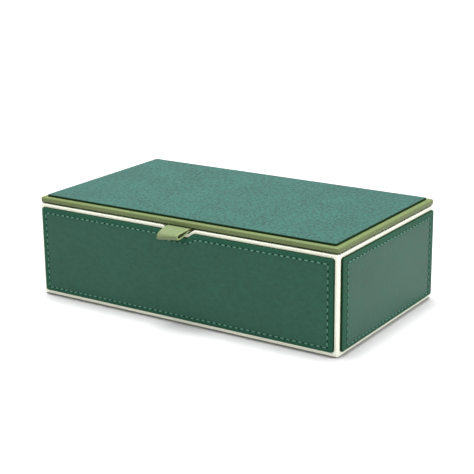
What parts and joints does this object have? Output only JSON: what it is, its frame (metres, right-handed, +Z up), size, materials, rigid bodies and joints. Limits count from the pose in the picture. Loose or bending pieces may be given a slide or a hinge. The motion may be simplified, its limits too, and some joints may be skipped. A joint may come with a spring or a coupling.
{
  "type": "card deck box",
  "caption": "Rectangular leather-covered storage box for decks of cards, with stitched side panels, a back-hinged lid, a front pull tab and divided wells.",
  "frame": {"origin": "on the floor under the middle of the box, tab left out", "axes": "+X along the box's length, -Y is the front with the pull tab, +Z up"},
  "size_m": [0.2198, 0.1352, 0.0659],
  "materials": {
    "green_leather": "dark green, fine grain, satin, stitched edges",
    "green_lid_leather": "green, fine grain, satin",
    "sage_leather": "sage green, smooth, satin",
    "cream_leather": "cream, smooth, satin",
    "suede": "short-napped microsuede",
    "greyboard": "raw dense board"
  },
  "bodies": {
    "base": {"bottom_board": "greyboard", "front_wall_board": "greyboard", "back_wall_board": "greyboard", "left_wall_board": "greyboard", "right_wall_board": "greyboard", "cream_wrap": "cream_leather", "front_panel": "green_leather", "back_panel": "green_leather", "left_panel": "green_leather", "right_panel": "green_leather", "floor_lining": "suede", "front_lining": "suede", "back_lining": "suede", "left_lining": "suede", "right_lining": "suede", "left_divider": "suede", "right_divider": "suede", "underside_card": "suede", "hinge_strip_lower": "sage_leather"},
    "lid": {"lid_board": "greyboard", "lid_wrap": "sage_leather", "lid_top_panel": "green_lid_leather", "lid_lining_board": "suede", "pull_tab": "sage_leather", "hinge_strip_upper": "sage_leather"}
  },
  "joints": [
    {"name": "lid_hinge", "type": "hinge", "parent": "base", "child": "lid", "pos_m": [0, 0.0609, 0.06095], "axis": [-1, 0, 0], "range_deg": [0, 110]}
  ]
}
